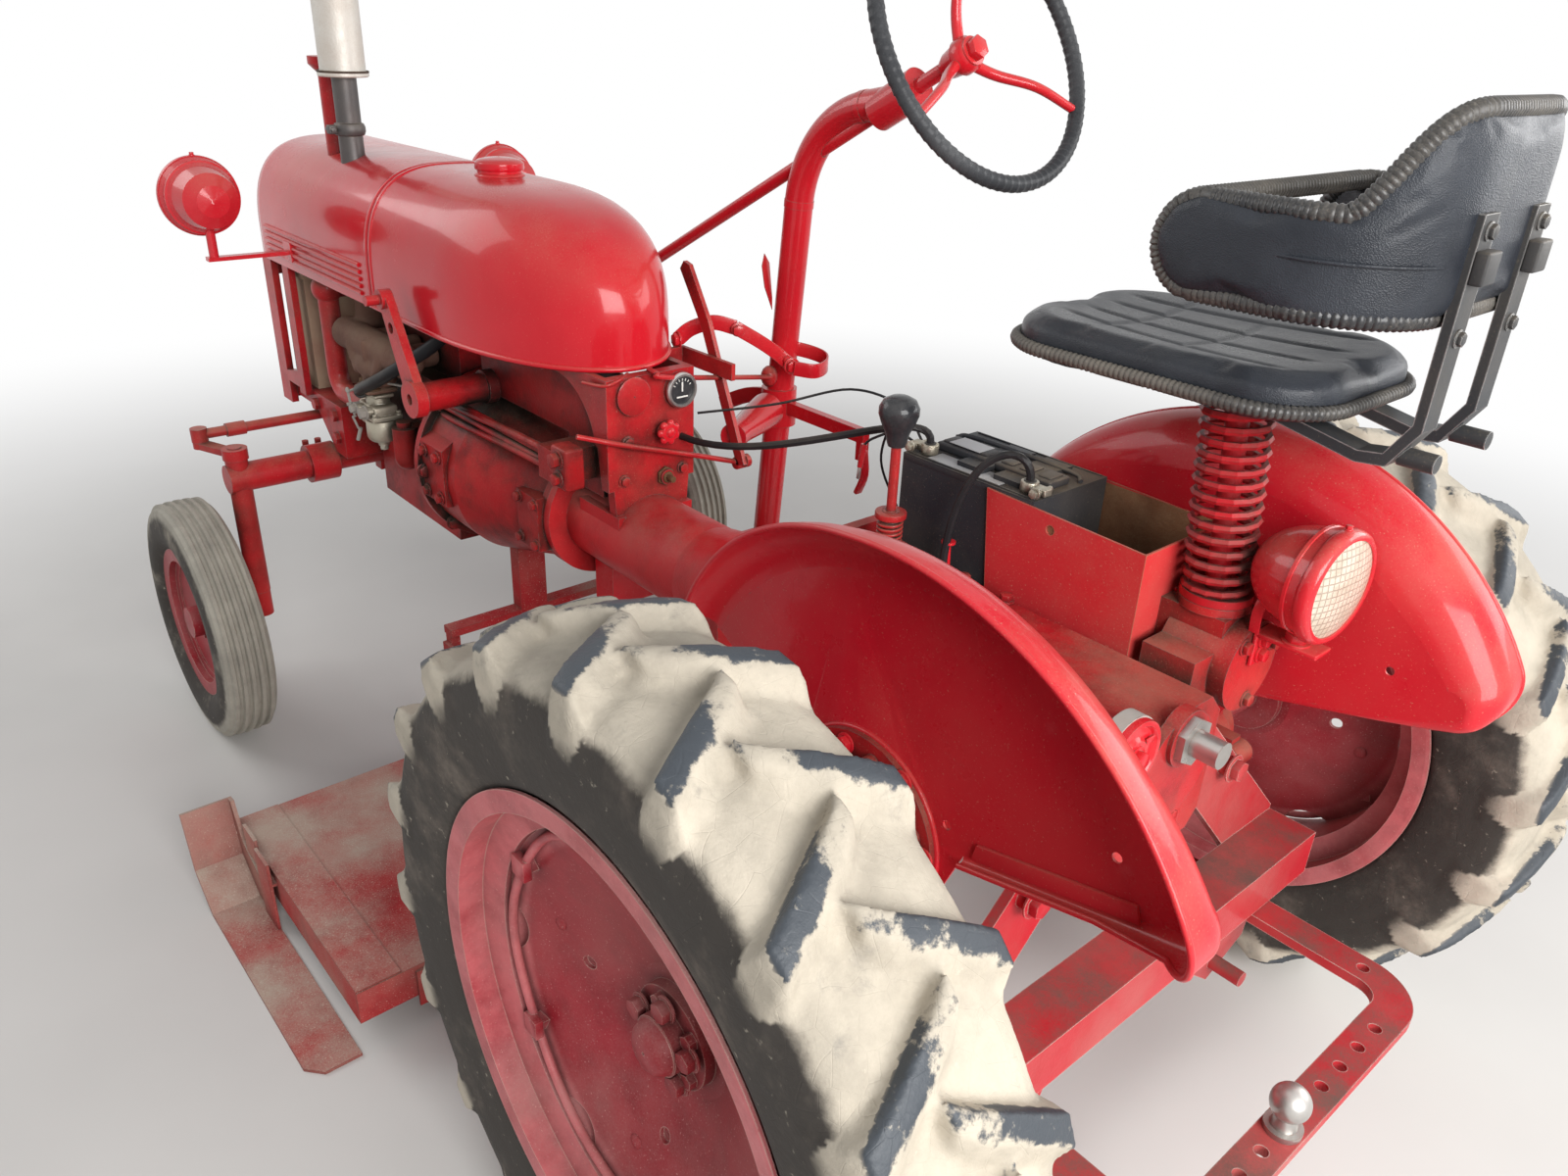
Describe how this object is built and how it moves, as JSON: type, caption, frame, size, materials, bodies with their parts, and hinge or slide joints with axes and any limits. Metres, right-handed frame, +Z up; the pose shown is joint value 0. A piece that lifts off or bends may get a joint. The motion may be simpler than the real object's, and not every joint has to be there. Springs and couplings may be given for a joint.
{
  "type": "vintage row-crop tractor",
  "caption": "Small vintage tractor with an offset engine, tall lugged rear wheels, wide front axle, seat on a coil spring, drawbar with hitch ball and a belly mower deck.",
  "frame": {"origin": "on the floor, at the middle of the tractor's overall length and width", "axes": "+X forward, +Y to the driver's left, +Z up"},
  "size_m": [2.5195, 1.676, 1.758],
  "materials": {
    "red_paint": "gloss enamel, dusty and worn at edges",
    "wheel_red": "faded red under pale dust",
    "worn_red": "red enamel chipped to bare steel at the edges",
    "deck_red": "sun-faded red with patches of stronger red",
    "tyre": "dusty black rubber, beige between the lugs",
    "dusty_core": "dusty core and tanks",
    "rusty_iron": "heat-rusted casting",
    "carburettor_alloy": "oily casting",
    "exhaust_steel": "heat-darkened pipe under a pale silver muffler",
    "worn_steel": "worn bright",
    "black_vinyl": "satin coated cloth",
    "black_frame": "black enamel",
    "battery_case": "moulded case",
    "cable_rubber": "insulated cable",
    "taped_rim": "taped rim on painted spokes"
  },
  "bodies": {
    "chassis": {"front_axle": "red_paint", "front_bolster": "red_paint", "radiator": "dusty_core", "grille": "red_paint", "hood": "red_paint", "fuel_tank": "red_paint", "engine_block": "red_paint", "manifold": "rusty_iron", "carburettor": "carburettor_alloy", "air_intake": "red_paint", "exhaust": "exhaust_steel", "clutch_housing": "red_paint", "torque_tube": "red_paint", "instrument_panel": "red_paint", "hydraulic_unit": "red_paint", "transmission": "red_paint", "final_drive_left": "red_paint", "final_drive_right": "red_paint", "pto_shaft": "worn_steel", "fender_left": "red_paint", "fender_right": "red_paint", "rear_beam": "worn_red", "drawbar": "worn_red", "hitch_ball": "worn_steel", "steering_post": "red_paint", "hand_lever": "red_paint", "gear_lever": "red_paint", "seat_pan": "black_vinyl", "seat_back": "black_vinyl", "seat_frame": "black_frame", "seat_spring": "red_paint", "seat_bracket": "red_paint", "battery_box": "red_paint", "battery": "battery_case", "cable_ground": "cable_rubber", "cable_starter": "cable_rubber", "headlamp_left": "red_paint", "headlamp_right": "red_paint", "work_lamp": "red_paint", "mower_deck": "deck_red", "deck_hangers": "deck_red"},
    "rear_wheel_left": {"rear_tyre_left": "tyre", "rear_rim_left": "wheel_red"},
    "rear_wheel_right": {"rear_tyre_right": "tyre", "rear_rim_right": "wheel_red"},
    "front_wheel_left": {"front_tyre_left": "tyre", "front_rim_left": "wheel_red"},
    "front_wheel_right": {"front_tyre_right": "tyre", "front_rim_right": "wheel_red"},
    "knuckle_left": {"knuckle_left": "red_paint"},
    "knuckle_right": {"knuckle_right": "red_paint"},
    "tie_rod": {"tie_rod": "red_paint"},
    "steering_wheel": {"steering_wheel": "taped_rim"},
    "lift_arm": {"lift_arm": "red_paint"}
  },
  "joints": [
    {"name": "rear_wheel_left_spin", "type": "hinge", "parent": "chassis", "child": "rear_wheel_left", "pos_m": [-0.76475, 0.6215, 0.495], "axis": [0, 1, 0], "continuous": true},
    {"name": "rear_wheel_right_spin", "type": "hinge", "parent": "chassis", "child": "rear_wheel_right", "pos_m": [-0.76475, -0.6215, 0.495], "axis": [0, 1, 0], "continuous": true},
    {"name": "knuckle_left_steer", "type": "hinge", "parent": "chassis", "child": "knuckle_left", "pos_m": [0.99425, 0.49, 0.2655], "axis": [0, 0, 1], "range_deg": [-32, 32]},
    {"name": "knuckle_right_steer", "type": "hinge", "parent": "chassis", "child": "knuckle_right", "pos_m": [0.99425, -0.49, 0.2655], "axis": [0, 0, 1], "range_deg": [-32, 32]},
    {"name": "tie_rod_ball", "type": "hinge", "parent": "knuckle_left", "child": "tie_rod", "pos_m": [1.0916, 0.52933, 0.6469], "axis": [0, 0, 1], "range_deg": [-30, 30]},
    {"name": "front_wheel_left_spin", "type": "hinge", "parent": "knuckle_left", "child": "front_wheel_left", "pos_m": [0.99425, 0.601, 0.2655], "axis": [0, 1, 0], "continuous": true},
    {"name": "front_wheel_right_spin", "type": "hinge", "parent": "knuckle_right", "child": "front_wheel_right", "pos_m": [0.99425, -0.601, 0.2655], "axis": [0, 1, 0], "continuous": true},
    {"name": "steering_wheel_turn", "type": "hinge", "parent": "chassis", "child": "steering_wheel", "pos_m": [-0.30675, -0.235, 1.462], "axis": [0.8823, 0, -0.4707], "range_deg": [-448, 448]},
    {"name": "lift_arm_swing", "type": "hinge", "parent": "chassis", "child": "lift_arm", "pos_m": [0.37825, 0.3383, 0.878], "axis": [0, 1, 0], "range_deg": [-40, 25]}
  ],
  "couplings": [
    {"joint": "knuckle_right_steer", "follows": "knuckle_left_steer", "ratio": 1},
    {"joint": "tie_rod_ball", "follows": "knuckle_left_steer", "ratio": -0.934},
    {"joint": "steering_wheel_turn", "follows": "knuckle_left_steer", "ratio": -14}
  ]
}
